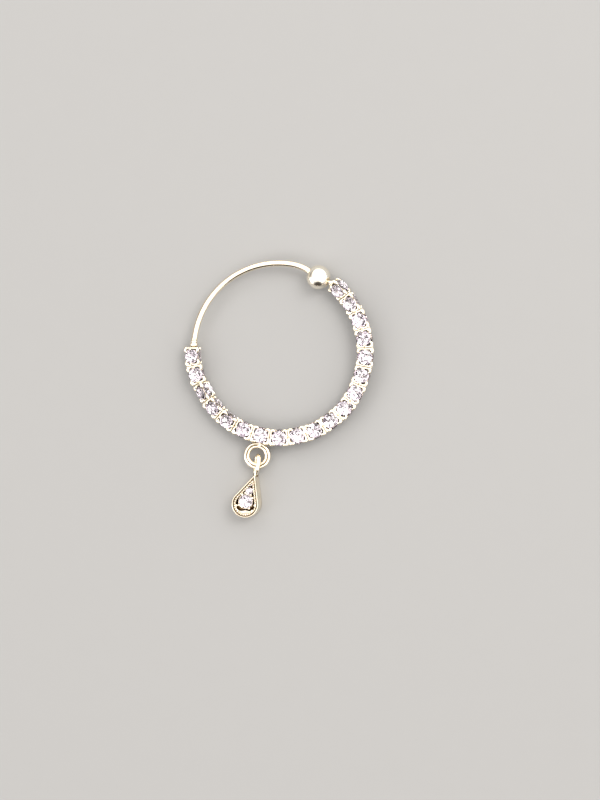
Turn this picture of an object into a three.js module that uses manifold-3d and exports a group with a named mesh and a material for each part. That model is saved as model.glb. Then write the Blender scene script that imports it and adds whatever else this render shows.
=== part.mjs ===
// Nose ring: a round wire hoop threaded through nineteen three-sided stone beads,
// closed by sliding its tip into a drilled ball, with a teardrop hanging from a ring
// soldered to the seventh bead. It lies on its side on a table, the hoop in the XY plane.
// Units are millimetres, +Z is up from the table.

import * as THREE from 'three';
import { mergeVertices } from 'three/addons/utils/BufferGeometryUtils.js';
import Module from 'manifold-3d';

const wasm = await Module();
wasm.setup();

// Hoop: radius of the wire's centre line, and the wire's own radius where it is
// plain and where it runs through the beads
const HOOP_RADIUS = 8.72;
const WIRE_RADIUS = 0.325;
const CORE_RADIUS = 0.2;
const RUNNING_GAP = 0.03;

// Catch ball and the two wire ends inside it. All angles on the hoop are in degrees,
// counter-clockwise from +X. The ball pulls both ends of the hoop slightly inwards
const BALL_RADIUS = 1.2;
const BALL_ANGLE = 61.5;
const CLOSURE_DIP = 0.37;
const CLOSURE_SPREAD = 10;
const TIP_ANGLE = 64.5;
const CORE_END_ANGLE = BALL_ANGLE + 356.5;
const HOLE_END_ROOM = 0.4;

// Beads: three rows of stones round a drilled barrel, claws on the ridges between them.
// Heights are measured from the barrel's axis
const FIRST_BEAD_ANGLE = 184;
const BEAD_PITCH = 1.872;
const BARREL_RADIUS = 0.42;
const BORE_RADIUS = 0.3;
const BENT_BORE_RADIUS = 0.27;
const STONE_RADIUS = 0.76;
const GIRDLE_HEIGHT = 0.5;
const PAVILION_DEPTH = 0.4;
const PLATE_FACE = STONE_RADIUS + 0.01;
const PLATE_REACH = 1;
const CLAW_REACH = 1.02;
const CLAW_WIDTH = 0.2;
const CLAW_DEPTH = 0.3;
const CLAW_NIB = 0.2;
const PRONG_NIB = 0.12;
const PRONG_HEIGHT = 0.18;
const NIB_ROOT = 0.05;
const NIB_FALL = 0.4;
const ROWS = [0, 120, 240];
const RIDGES = [60, 180, 300];

// Half the length of a bead before its ends are cut square to the bent wire
const UNCUT_END = (BEAD_PITCH / 2) * (1 + (1.1 * CLAW_REACH) / HOOP_RADIUS);

// Collars on the core: a beaded one at the plain wire, a thin one at the ball
const BEADED_COLLAR = 0.62;
const BEADED_COLLAR_RING = 0.36;
const BEADED_COLLAR_WAIST = 0.3;
const THIN_COLLAR = 0.1;
const COLLAR_RADIUS = 0.42;
const COLLAR_HOLE = CORE_RADIUS + RUNNING_GAP + 0.02;

// One row for each bead, from the plain end of the wire round to the ball:
// how far its upper stone tips towards the outside of the hoop, and its node's name
const BEADS = [
  { tipOut: 22, name: 'bead_01' },
  { tipOut: 8, name: 'bead_02' },
  { tipOut: 48, name: 'bead_03' },
  { tipOut: 30, name: 'bead_04' },
  { tipOut: 24, name: 'bead_05' },
  { tipOut: 4, name: 'bead_06' },
  { tipOut: 0, name: 'bead_07_drop_ring', carriesRing: true },
  { tipOut: 3, name: 'bead_08' },
  { tipOut: -3, name: 'bead_09' },
  { tipOut: 2, name: 'bead_10' },
  { tipOut: -2, name: 'bead_11' },
  { tipOut: 4, name: 'bead_12' },
  { tipOut: 0, name: 'bead_13' },
  { tipOut: -3, name: 'bead_14' },
  { tipOut: 2, name: 'bead_15' },
  { tipOut: -2, name: 'bead_16' },
  { tipOut: -5, name: 'bead_17' },
  { tipOut: -22, name: 'bead_18' },
  { tipOut: -40, name: 'bead_19' },
];

// Ring soldered to the seventh bead, lying beside the band: its middle's distance
// outwards from the wire and below it
const RING_RADIUS = 1.07;
const RING_WIRE_RADIUS = 0.29;
const RING_OUT = 2.14;
const RING_DROP = 0.22;
const POST_RADIUS = 0.2;

// Teardrop: middle of its round end, measured from the hoop's centre, the turn of its
// axis in degrees, and the distance from that middle to the tip
const DROP_CENTRE = new THREE.Vector2(-3.44, -15.49);
const DROP_TURN = -18.6;
const DROP_RADIUS = 1.36;
const DROP_TIP = 3.2;
const DROP_HEIGHT = 1.6;
const DROP_FLARE = 0.12;
const TIP_CUT = 0.16;
const RIM_WIDTH = 0.17;
const FLOOR_HEIGHT = 0.95;
const NECK_RADIUS = 0.26;
const NECK_OFFSET = 0.1;

// Seats and prongs of the drop, in parts of the stone's radius unless said otherwise
const DROP_PAVILION = 0.2;
const SEAT_OUTER = 0.82;
const SEAT_INNER = 0.7;
const SEAT_DEPTH = 0.22;
const SEAT_ROOT = 0.1; // millimetres below the floor
const PRONG_TOP = 0.05; // millimetres above the girdle
const PRONG_GAP = 0.02; // millimetres beside the girdle
const PRONG_TURNS = [45, 135, 225, 315];

// Stones of the drop: place along and across its axis from the middle of the round
// end, radius, and height of the girdle above the table
const DROP_STONES = [
  { name: 'drop_stone_large', along: 0.28, across: -0.04, radius: 0.69, girdle: 1.38 },
  { name: 'drop_stone_middle', along: 1.38, across: -0.05, radius: 0.36, girdle: 1.36 },
  { name: 'drop_stone_small', along: 2.15, across: 0.02, radius: 0.19, girdle: 1.34 },
];

// Bail: a long loop of thin wire soldered to the drop's tip, passed round the ring's
// wire and leaning in degrees so that one leg is above the ring and the other below it
const BAIL_TOP = new THREE.Vector2(-2.18, -10.42);
const BAIL_WIRE_RADIUS = 0.13;
const BAIL_HALF_WIDTH = 0.47;
const BAIL_FOOT_HALF_WIDTH = 0.1;
const BAIL_FOOT_DEPTH = 0.2;
const BAIL_SHOULDER = 0.66;
const BAIL_LEAN = 60;
const BAIL_ARCH_POINTS = 8;

const GOLD = new THREE.MeshStandardMaterial({ color: 0xd9bd8c, roughness: 0.16, metalness: 1 });
const PALE_GOLD = new THREE.MeshStandardMaterial({ color: 0xe3cca6, roughness: 0.2, metalness: 1 });
const CRYSTAL = new THREE.MeshStandardMaterial({ color: 0xe9e9f0, roughness: 0.03, metalness: 0 });

const rad = THREE.MathUtils.degToRad;
const deg = THREE.MathUtils.radToDeg;

/** Turns a closed geometry into a solid for joining and cutting. */
function solid(geometry) {
  geometry.deleteAttribute('normal');
  geometry.deleteAttribute('uv');
  const merged = mergeVertices(geometry, 1e-4);
  return new wasm.Manifold(
    new wasm.Mesh({
      numProp: 3,
      vertProperties: new Float32Array(merged.attributes.position.array),
      triVerts: new Uint32Array(merged.index.array),
    })
  );
}

/** Makes a named mesh from a solid. */
function meshOf(name, body, material) {
  const { vertProperties, triVerts } = body.getMesh();
  const geometry = new THREE.BufferGeometry();
  geometry.setAttribute('position', new THREE.BufferAttribute(new Float32Array(vertProperties), 3));
  geometry.setIndex(new THREE.BufferAttribute(new Uint32Array(triVerts), 1));
  geometry.computeVertexNormals();
  const mesh = new THREE.Mesh(geometry, material);
  mesh.name = name;
  return mesh;
}

/** Joins a list of solids into one. */
function join(solids) {
  return solids.reduce((whole, piece) => whole.add(piece));
}

/** A regular polygon standing for a round section. */
function roundSection(radius, sides) {
  const corners = Array.from({ length: sides }, (_, i) => {
    const angle = (2 * Math.PI * (i + 0.5)) / sides;
    return new THREE.Vector2(radius * Math.cos(angle), radius * Math.sin(angle));
  });
  return new THREE.Shape(corners);
}

/** Distance of the wire's centre line from the hoop's centre at an angle in degrees. */
function lineRadius(angle) {
  const fromBall = THREE.MathUtils.euclideanModulo(angle - BALL_ANGLE + 180, 360) - 180;
  return HOOP_RADIUS - CLOSURE_DIP * Math.exp(-((fromBall / CLOSURE_SPREAD) ** 2));
}

/** Point of the wire's centre line at an angle in degrees. */
function linePoint(angle) {
  const radius = lineRadius(angle);
  return new THREE.Vector3(radius * Math.cos(rad(angle)), radius * Math.sin(rad(angle)), 0);
}

/** Stretch of the centre line between two angles. */
class HoopLine extends THREE.Curve {
  constructor(from, to) {
    super();
    this.from = from;
    this.to = to;
  }

  getPoint(t) {
    return linePoint(THREE.MathUtils.lerp(this.from, this.to, t));
  }
}

/** Round bar of the given radius along a stretch of the centre line. */
function bentBar(from, to, radius, sides, steps) {
  const options = { steps, extrudePath: new HoopLine(from, to), bevelEnabled: false };
  return solid(new THREE.ExtrudeGeometry(roundSection(radius, sides), options));
}

/** Moves a piece made along X onto the centre line: X forwards, Y inwards, Z up. */
function placedOnLine(geometryOrSolid, angle, tipOut) {
  const at = linePoint(angle);
  return geometryOrSolid
    .rotate([tipOut, 0, 0])
    .rotate([0, 0, angle + 90])
    .translate([at.x, at.y, at.z]);
}

/** Closed body turned about the X axis from a profile of [along X, radius] pairs. */
function turned(profile, sides) {
  const points = profile.map(([along, radius]) => new THREE.Vector2(radius, along));
  const geometry = new THREE.LatheGeometry(points, sides);
  geometry.rotateZ(-Math.PI / 2);
  return solid(geometry);
}

/** Plate or claw cut from sheet: outline in X (along the bead) and Z (away from it). */
function cutFromSheet(outline, thickness) {
  const shape = new THREE.Shape(outline.map(([x, z]) => new THREE.Vector2(x, z)));
  const geometry = new THREE.ExtrudeGeometry(shape, { depth: thickness, bevelEnabled: false });
  const axes = new THREE.Matrix4().makeBasis(
    new THREE.Vector3(1, 0, 0),
    new THREE.Vector3(0, 0, 1),
    new THREE.Vector3(0, -1, 0)
  );
  geometry.applyMatrix4(axes);
  geometry.translate(0, thickness / 2, 0);
  return solid(geometry);
}

/** Cut stone of eight sides, its table up along Z and its sharp girdle at z = 0. */
function brilliant(radius, depth) {
  const crown = 0.27 * radius;
  const table = 0.56 * radius;
  const profile = [
    new THREE.Vector2(0, -depth),
    new THREE.Vector2(radius, 0),
    new THREE.Vector2(table, crown),
    new THREE.Vector2(0, crown),
  ];
  const geometry = new THREE.LatheGeometry(profile, 8);
  geometry.rotateX(Math.PI / 2);
  return solid(geometry);
}

/** Three-cornered end plate of a bead, standing across X with its corners on the ridges. */
function endPlate() {
  const middle = new THREE.Vector2();
  const points = RIDGES.flatMap((ridge) =>
    [-CLAW_WIDTH / 2, CLAW_WIDTH / 2].map((sideways) =>
      new THREE.Vector2(sideways, PLATE_REACH).rotateAround(middle, -rad(ridge))
    )
  );
  const shape = new THREE.Shape(points.reverse());
  const depth = UNCUT_END - PLATE_FACE;
  const geometry = new THREE.ExtrudeGeometry(shape, { depth, bevelEnabled: false });
  const axes = new THREE.Matrix4().makeBasis(
    new THREE.Vector3(0, 1, 0),
    new THREE.Vector3(0, 0, 1),
    new THREE.Vector3(1, 0, 0)
  );
  geometry.applyMatrix4(axes);
  return solid(geometry);
}

/** Nib that leans over a stone: three-cornered, from a height up to its top. */
function nib(low, high, overhang, width) {
  const root = PLATE_FACE + NIB_ROOT;
  const outline = [
    [root, low],
    [root, high],
    [PLATE_FACE - overhang, high - NIB_FALL * (high - low)],
  ];
  return cutFromSheet(outline, width);
}

/** Bead along X: barrel, two end plates, claws on the ridges, prongs and its stones. */
function bead(carriesRing) {
  const claw = nib(CLAW_REACH - CLAW_DEPTH, CLAW_REACH, CLAW_NIB, 0.9 * CLAW_WIDTH);
  const prong = nib(GIRDLE_HEIGHT - NIB_ROOT, GIRDLE_HEIGHT + PRONG_HEIGHT, PRONG_NIB, CLAW_WIDTH);
  const stone = brilliant(STONE_RADIUS, PAVILION_DEPTH).translate([0, 0, GIRDLE_HEIGHT]);
  const barrel = turned(
    [
      [-UNCUT_END, 0],
      [-UNCUT_END, BARREL_RADIUS],
      [UNCUT_END, BARREL_RADIUS],
      [UNCUT_END, 0],
    ],
    6
  ).rotate([30, 0, 0]);
  const rowsWithStones = carriesRing ? ROWS.slice(0, 2) : ROWS;
  const pieces = [barrel];
  for (const turn of [0, 180]) {
    pieces.push(endPlate().translate([PLATE_FACE, 0, 0]).rotate([0, 0, turn]));
    RIDGES.forEach((ridge) => pieces.push(claw.rotate([0, 0, turn]).rotate([-ridge, 0, 0])));
    rowsWithStones.forEach((row) => pieces.push(prong.rotate([0, 0, turn]).rotate([-row, 0, 0])));
  }
  rowsWithStones.forEach((row) => pieces.push(stone.rotate([-row, 0, 0])));
  return join(pieces);
}

/** Straight hole for the core wire, along X. */
function boreTool() {
  const reach = UNCUT_END + 0.1;
  return turned(
    [
      [-reach, 0],
      [-reach, BORE_RADIUS],
      [reach, BORE_RADIUS],
      [reach, 0],
    ],
    6
  ).rotate([30, 0, 0]);
}

/** Ring lying flat beside the band, with the post that joins it to its bead. */
function dropRing() {
  const ring = solid(new THREE.TorusGeometry(RING_RADIUS, RING_WIRE_RADIUS, 6, 24));
  const out = RING_OUT - RING_RADIUS;
  const length = Math.hypot(out, RING_DROP);
  const foot = 0.8 * BARREL_RADIUS;
  const post = turned(
    [
      [foot, 0],
      [foot, POST_RADIUS],
      [length, POST_RADIUS],
      [length, 0],
    ],
    10
  );
  const slope = deg(Math.atan2(RING_DROP, out));
  return ring
    .translate([0, -RING_OUT, -RING_DROP])
    .add(post.rotate([0, slope, 0]).rotate([0, 0, -90]));
}

/** Angles of the beads' middles, spaced evenly along the bent wire. */
function beadAngles() {
  const angles = [FIRST_BEAD_ANGLE];
  while (angles.length < BEADS.length) {
    const last = angles[angles.length - 1];
    angles.push(last + deg(BEAD_PITCH / lineRadius(last)));
  }
  return angles;
}

/** Wedge of the hoop between two angles, from its middle out past the band. */
function wedge(from, to) {
  const reach = 2 * HOOP_RADIUS;
  const middle = new THREE.Vector2();
  const corners = [from, to].map((angle) => new THREE.Vector2(reach, 0).rotateAround(middle, rad(angle)));
  const shape = new THREE.Shape([middle, ...corners]);
  const height = 4 * CLAW_REACH;
  const geometry = new THREE.ExtrudeGeometry(shape, { depth: height, bevelEnabled: false });
  geometry.translate(0, 0, -height / 2);
  return solid(geometry);
}

/** Half the turn about the hoop's middle that one bead takes up, in degrees. */
function halfTurn(angle) {
  return deg((BEAD_PITCH - RUNNING_GAP) / 2 / lineRadius(angle));
}

/** Bent hole that follows the core wire through a bead beside the ball. */
function bentBore(angle) {
  const pastEnd = 1;
  const reach = halfTurn(angle) + pastEnd;
  return bentBar(angle - reach, angle + reach, BENT_BORE_RADIUS, 8, 4);
}

/** All beads, each on its stretch of the wire, their ends cut square to the bent wire. */
function makeBeads() {
  const plain = bead(false).subtract(boreTool());
  const withPost = bead(true).subtract(boreTool());
  const angles = beadAngles();
  return BEADS.map(({ tipOut, name, carriesRing }, i) => {
    const angle = angles[i];
    const space = wedge(angle - halfTurn(angle), angle + halfTurn(angle));
    const uncut = carriesRing ? withPost : plain;
    const straight = placedOnLine(uncut, angle, tipOut).intersect(space);
    const drawnIn = HOOP_RADIUS - lineRadius(angle + halfTurn(angle));
    const body = drawnIn > RUNNING_GAP / 2 ? straight.subtract(bentBore(angle)) : straight;
    const whole = carriesRing ? body.add(placedOnLine(dropRing(), angle, 0)) : body;
    return meshOf(name, whole, PALE_GOLD);
  });
}

/** Wire of the hoop: the plain upper part and the thinner core that carries the beads. */
function makeWire() {
  const covered = deg((BEADED_COLLAR + 2 * RUNNING_GAP) / HOOP_RADIUS);
  const shoulder = FIRST_BEAD_ANGLE - halfTurn(FIRST_BEAD_ANGLE) - covered;
  const rootInUpper = 2;
  const upper = bentBar(TIP_ANGLE, shoulder, WIRE_RADIUS, 10, 28);
  const core = bentBar(shoulder - rootInUpper, CORE_END_ANGLE, CORE_RADIUS, 6, 50);
  return meshOf('hoop_wire', upper.add(core), GOLD);
}

/** Catch ball, drilled along the wire for its tip and for the end of the core. */
function makeBall() {
  const centre = linePoint(BALL_ANGLE);
  const ball = solid(new THREE.SphereGeometry(BALL_RADIUS, 16, 12));
  const pastBall = 10;
  const tipHoleEnd = TIP_ANGLE - HOLE_END_ROOM;
  const coreHoleEnd = CORE_END_ANGLE + HOLE_END_ROOM;
  const tipHole = bentBar(tipHoleEnd, tipHoleEnd + pastBall, WIRE_RADIUS + RUNNING_GAP, 10, 4);
  const coreHole = bentBar(coreHoleEnd - pastBall, coreHoleEnd, CORE_RADIUS + RUNNING_GAP, 8, 4);
  const drilled = ball.translate([centre.x, centre.y, 0]).subtract(tipHole).subtract(coreHole);
  return meshOf('catch_ball', drilled, GOLD);
}

/** Collars that close the band: a beaded one at the plain wire, a thin one at the ball. */
function makeCollars() {
  const half = BEADED_COLLAR / 2;
  const beaded = turned(
    [
      [-half, COLLAR_HOLE],
      [-half, BEADED_COLLAR_RING],
      [-0.64 * half, BEADED_COLLAR_RING],
      [-0.45 * half, BEADED_COLLAR_WAIST],
      [0, COLLAR_RADIUS],
      [0.68 * half, COLLAR_RADIUS],
      [half, BEADED_COLLAR_WAIST],
      [half, COLLAR_HOLE],
      [-half, COLLAR_HOLE],
    ],
    12
  );
  const thin = turned(
    [
      [-THIN_COLLAR / 2, COLLAR_HOLE],
      [-THIN_COLLAR / 2, COLLAR_RADIUS],
      [THIN_COLLAR / 2, COLLAR_RADIUS],
      [THIN_COLLAR / 2, COLLAR_HOLE],
      [-THIN_COLLAR / 2, COLLAR_HOLE],
    ],
    12
  );
  const last = beadAngles().pop();
  const stepBack = deg((half + RUNNING_GAP) / HOOP_RADIUS);
  const stepOn = deg((THIN_COLLAR / 2 + RUNNING_GAP) / lineRadius(last + halfTurn(last)));
  const firstAngle = FIRST_BEAD_ANGLE - halfTurn(FIRST_BEAD_ANGLE) - stepBack;
  const lastAngle = last + halfTurn(last) + stepOn;
  return [
    meshOf('collar_wire_end', placedOnLine(beaded, firstAngle, 0), GOLD),
    meshOf('collar_ball_end', placedOnLine(thin, lastAngle, 0), GOLD),
  ];
}

/** Outline of the drop, its tip along +Y: an arc and two straight sides to a blunt tip. */
function dropOutline(inset) {
  const side = Math.asin(DROP_RADIUS / DROP_TIP);
  const tip = DROP_TIP - inset / Math.sin(side);
  const shape = new THREE.Shape();
  shape.absarc(0, 0, DROP_RADIUS - inset, Math.PI - side, 2 * Math.PI + side, false);
  shape.lineTo(TIP_CUT * Math.sin(side), tip - TIP_CUT * Math.cos(side));
  shape.lineTo(-TIP_CUT * Math.sin(side), tip - TIP_CUT * Math.cos(side));
  return shape;
}

/** Slab of the drop's outline between two heights. */
function dropSlab(inset, from, to) {
  const options = { depth: to - from, bevelEnabled: false, curveSegments: 16 };
  const geometry = new THREE.ExtrudeGeometry(dropOutline(inset), options);
  geometry.translate(0, 0, from);
  return geometry;
}

/** Moves a solid from the drop's own axes to its place beside the hoop. */
function placedDrop(body) {
  return body.rotate([0, 0, DROP_TURN]).translate([DROP_CENTRE.x, DROP_CENTRE.y, 0]);
}

/** Body of the drop, a little wider at its back than at its rim. */
function dropBody() {
  const geometry = dropSlab(0, 0, DROP_HEIGHT);
  const position = geometry.attributes.position;
  const grow = 1 + DROP_FLARE / DROP_RADIUS;
  for (let i = 0; i < position.count; i += 1) {
    if (position.getZ(i) < DROP_HEIGHT / 2) {
      position.setXY(i, position.getX(i) * grow, position.getY(i) * grow);
    }
  }
  return solid(geometry);
}

/** Seat and four bead prongs under one stone of the drop, in the drop's own axes. */
function stoneSeat({ along, across, radius, girdle }) {
  const root = FLOOR_HEIGHT - SEAT_ROOT;
  const seatTop = girdle - (1 - SEAT_INNER) * DROP_PAVILION * radius - RUNNING_GAP;
  const seat = turned(
    [
      [root, 0],
      [root, SEAT_OUTER * radius],
      [seatTop, SEAT_OUTER * radius],
      [seatTop, SEAT_INNER * radius],
      [seatTop - SEAT_DEPTH * radius, 0],
    ],
    10
  ).rotate([0, -90, 0]);
  const prongRadius = 0.05 + 0.07 * radius;
  const prongTop = girdle + PRONG_TOP;
  const prong = turned(
    [
      [root, 0],
      [root, prongRadius],
      [prongTop, prongRadius],
      [prongTop + 0.6 * prongRadius, 0],
    ],
    5
  ).rotate([0, -90, 0]);
  const reach = radius + prongRadius + PRONG_GAP;
  const prongs = PRONG_TURNS.map((turn) => prong.translate([reach, 0, 0]).rotate([0, 0, turn]));
  return join([seat, ...prongs]).translate([across, along, 0]);
}

/** Bail loop from the drop's tip, leaning so that one leg passes over the ring's wire. */
function bailLoop() {
  const foot = new THREE.Vector2(0, DROP_TIP - BAIL_FOOT_DEPTH)
    .rotateAround(new THREE.Vector2(), rad(DROP_TURN))
    .add(DROP_CENTRE);
  const forwards = new THREE.Vector2().subVectors(BAIL_TOP, foot);
  const bend = forwards.length() - BAIL_HALF_WIDTH - BAIL_WIRE_RADIUS;
  forwards.normalize();
  const sideways = new THREE.Vector3(forwards.y, -forwards.x, 0).multiplyScalar(Math.cos(rad(BAIL_LEAN)));
  sideways.z = Math.sin(rad(BAIL_LEAN));
  const place = (along, side) =>
    new THREE.Vector3(foot.x, foot.y, DROP_HEIGHT / 2)
      .add(new THREE.Vector3(forwards.x, forwards.y, 0).multiplyScalar(along))
      .addScaledVector(sideways, side);
  const points = [place(0, -BAIL_FOOT_HALF_WIDTH), place(BAIL_SHOULDER, -BAIL_HALF_WIDTH)];
  for (let i = 0; i <= BAIL_ARCH_POINTS; i += 1) {
    const angle = Math.PI * (1 - i / BAIL_ARCH_POINTS);
    points.push(place(bend + BAIL_HALF_WIDTH * Math.sin(angle), BAIL_HALF_WIDTH * Math.cos(angle)));
  }
  points.push(place(BAIL_SHOULDER, BAIL_HALF_WIDTH), place(0, BAIL_FOOT_HALF_WIDTH));
  const path = new THREE.CatmullRomCurve3(points, false, 'centripetal');
  const options = { steps: 28, extrudePath: path, bevelEnabled: false };
  return solid(new THREE.ExtrudeGeometry(roundSection(BAIL_WIRE_RADIUS, 6), options));
}

/** Setting of the drop with its recess, seats, prongs, neck and bail in one solid. */
function makeDropSetting() {
  const recess = solid(dropSlab(RIM_WIDTH, FLOOR_HEIGHT, DROP_HEIGHT + 1));
  const neck = solid(new THREE.SphereGeometry(NECK_RADIUS, 10, 6))
    .translate([0, DROP_TIP - NECK_OFFSET, DROP_HEIGHT / 2]);
  const body = join([dropBody().subtract(recess), neck, ...DROP_STONES.map(stoneSeat)]);
  return meshOf('drop_setting', placedDrop(body).add(bailLoop()), PALE_GOLD);
}

/** Stones of the drop, each clear of its seat. */
function makeDropStones() {
  return DROP_STONES.map(({ name, along, across, radius, girdle }) => {
    const stone = brilliant(radius, DROP_PAVILION * radius).translate([across, along, girdle]);
    return meshOf(name, placedDrop(stone), CRYSTAL);
  });
}

// The hoop leans a touch, because the ball is fatter than the beads
const hoop = new THREE.Group();
hoop.add(makeWire(), makeBall(), ...makeCollars(), ...makeBeads());
const lean = Math.asin((BALL_RADIUS - CLAW_REACH) / (2 * HOOP_RADIUS));
const leanAxis = new THREE.Vector3(-Math.sin(rad(BALL_ANGLE)), Math.cos(rad(BALL_ANGLE)), 0);
hoop.setRotationFromAxisAngle(leanAxis, -lean);
hoop.position.z = (BALL_RADIUS + CLAW_REACH) / 2;

const noseRing = new THREE.Group();
noseRing.add(hoop, makeDropSetting(), ...makeDropStones());

// Origin on the table under the middle of the whole piece
noseRing.updateMatrixWorld(true);
const box = new THREE.Box3().setFromObject(noseRing, true);
const middle = box.getCenter(new THREE.Vector3());
noseRing.position.set(-middle.x, -middle.y, -box.min.z);

export default noseRing;
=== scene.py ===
"""Looks of the nose ring: smooth metal, full-cut stones, a plain studio and the camera.

Every surface is worked out with numpy in millimetres on the wire's own lines, then moved
to its place on the frame. A ring of points carried along a line makes a shell, and shells
gathered together make a piece.
"""
import math

import bpy
import numpy as np
from mathutils import Matrix, Vector


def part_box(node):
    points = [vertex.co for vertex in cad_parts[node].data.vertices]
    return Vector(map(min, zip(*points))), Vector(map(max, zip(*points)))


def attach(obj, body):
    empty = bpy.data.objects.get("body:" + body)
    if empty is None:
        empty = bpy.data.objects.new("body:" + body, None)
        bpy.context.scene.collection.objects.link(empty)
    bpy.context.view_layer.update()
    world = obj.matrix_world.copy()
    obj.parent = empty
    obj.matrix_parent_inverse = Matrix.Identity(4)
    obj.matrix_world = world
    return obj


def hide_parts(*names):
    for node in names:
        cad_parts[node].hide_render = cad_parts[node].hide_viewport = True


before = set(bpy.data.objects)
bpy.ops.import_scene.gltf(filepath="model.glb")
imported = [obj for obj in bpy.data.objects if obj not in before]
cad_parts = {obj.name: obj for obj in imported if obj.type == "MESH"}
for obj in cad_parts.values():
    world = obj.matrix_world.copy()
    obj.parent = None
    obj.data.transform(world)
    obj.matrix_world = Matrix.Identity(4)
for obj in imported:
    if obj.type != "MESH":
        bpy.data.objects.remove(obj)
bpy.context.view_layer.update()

MM = 0.001

# Hoop and catch, in millimetres and in degrees counter-clockwise from +X
HOOP_RADIUS = 8.72
WIRE_RADIUS = 0.325
CORE_RADIUS = 0.2
RUNNING_GAP = 0.03
BALL_RADIUS = 1.2
BALL_ANGLE = 61.5
CLOSURE_DIP = 0.37
CLOSURE_SPREAD = 10
TIP_ANGLE = 64.5
CORE_END_ANGLE = BALL_ANGLE + 356.5

# Beads: three rows of stones round a barrel, claws on the ridges between the rows
FIRST_BEAD_ANGLE = 184
BEAD_PITCH = 1.872
BEAD_HALF = (BEAD_PITCH - RUNNING_GAP) / 2
CLAW_REACH = 1.02
ROWS = (0, 120, 240)
RIDGES = (60, 180, 300)
TIP_OUT = (22, 8, 48, 30, 24, 4, 0, 3, -3, 2, -2, 4, 0, -3, 2, -2, -5, -22, -40)
RING_BEAD = 6

# Metal of a bead; paths give places along the bead and away from its axis
BARREL_RADIUS = 0.42
BARREL_WAIST = 0.275
WAIST_HALF = 0.7
FLANGE_RADIUS = 0.45
FLANGE_START = 0.76
END_PLAY = 0.003
FRAME_SIDE = 0.45
FRAME_HALF = 0.085
FRAME_HALF_OUT = 0.135
FRAME_CORNER_POWER = 7
CLAW_PATH = ((0.735, 0.55), (0.74, 0.77), (0.715, 0.83), (0.6, 0.845), (0.47, 0.785))
CLAW_RADIUS = 0.175
CLAW_TAPER = 0.022
CLAW_SQUASH = 0.95
PRONG_PATH = ((0.81, 0.36), (0.81, 0.6), (0.71, 0.65))
PRONG_RADIUS = 0.11
GALLERY_HALF = 0.85
GALLERY_HEIGHT = 0.64
GALLERY_RISE = 0.06
GALLERY_RADIUS = 0.07
LIFT_START = 0.3
LIFT_SPAN = 0.3

# Stones; the cut is given in shares of a stone's radius
STONE_RADIUS = 0.76
GIRDLE_HEIGHT = 0.5
PAVILION_DEPTH = 0.22
DROP_PAVILION = 0.3
TABLE = 0.56
STAR = 0.78
GIRDLE_EDGE = 0.02
CROWN_HEIGHT = 0.27
PAVILION_RINGS = np.array([0.78, 0.52, 0.27])
PAVILION_POWER = 1.6
CORNER_JITTER = 0.055
CORNERS = 16
LEAST_TINT = 0.02

# Collars, and the ring soldered to its bead
BEADED_COLLAR = 0.62
THIN_COLLAR = 0.1
THIN_COLLAR_RADIUS = 0.42
COLLAR_HOLE = CORE_RADIUS + 0.03
RING_RADIUS = 1.07
RING_STRAND_RADIUS = 0.165
RING_STRAND_APART = 0.15
RING_STRAND_TALL = 1.6
RING_OUT = 2.14
RING_DROP = 0.22
POST_RADIUS = 0.2
SOLDER = 0.09

# Drop
DROP_CENTRE = np.array([-3.44, -15.49])
DROP_TURN = -18.6
DROP_RADIUS = 1.36
DROP_TIP = 3.2
DROP_HEIGHT = 1.6
DROP_FLARE = 0.12
TIP_ROUND = 0.12
SMALLEST_ROUND = 0.03
ROUND_END_POINTS = 88
SIDE_POINTS = 22
TIP_POINTS = 12
SHELF_INSET = 0.4
SHELF_WIDEST = 0.75
RECESS_HEIGHT = 0.95
MILGRAIN_INSET = 0.285
MILGRAIN_PITCH = 0.23
MILGRAIN_RADIUS = 0.085
MILGRAIN_SINK = 0.11
NECK_RADIUS = 0.27
NECK_BELOW_TIP = 0.12
DROP_STONES = (
    # node, along the axis, across it, radius, girdle height
    ("drop_stone_large", 0.28, -0.04, 0.69, 1.38),
    ("drop_stone_middle", 1.38, -0.05, 0.36, 1.36),
    ("drop_stone_small", 2.15, 0.02, 0.19, 1.34),
)
SHELF_BEAD_RADIUS = 0.14
SHELF_BEADS = (
    # along the axis, across it
    (-0.43, -0.82),
    (0.21, 0.98),
    (-0.42, 0.88),
)

# Bail: a flat strip; a leg gives places along the bail and away from its middle line
BAIL_TOP = np.array([-2.18, -10.42])
BAIL_WIRE_RADIUS = 0.13
BAIL_STRIP_HALF = 0.21
BAIL_HALF_WIDTH = 0.47
BAIL_SHOULDER = 0.66
BAIL_FEET = ((0, 0.1), (0.3, 0.2))
BAIL_LEAN = 68

# Colours
WARM_GOLD = (0.96, 0.86, 0.69, 1)
# Paler than the wire's gold: a painted brightness that stands in for the ball's broad highlight
BALL_GOLD_PAINTED_BRIGHT = (0.98, 0.92, 0.8, 1)
PALE_GOLD = (0.97, 0.88, 0.72, 1)
# Painted shade colours, laid where the lift attribute is low: round the barrels under the claws, in the
# drop's groove and recess, and between the ring's two wires
CLAW_SHADE = (0.4, 0.31, 0.16, 1)
DROP_SHADE = (0.2, 0.14, 0.08, 1)
STAIN = (0.72, 0.62, 0.48, 1)
CLEAR = (1, 1, 1, 1)
LILAC = (0.93, 0.88, 0.95, 1)
MIRROR = (1, 0.94, 0.985, 1)
# Painted dark reflection: random facets of the stones' mirror undersides darkened, standing in for the dark
# flecks a stone reflects
PAINTED_DARK_REFLECTION = (0.06, 0.03, 0.055, 1)
PAPER = (0.3, 0.294, 0.287)

# View: the picture's height at the object, in metres, and its middle from the hoop's, in millimetres
PICTURE_HEIGHT = 0.08
PICTURE_MIDDLE = (2.1, -4.94)
SENSOR = 24
VIEW_DISTANCE = 0.24
VIEW_RIGHT = 9
VIEW_UP = 4

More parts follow.
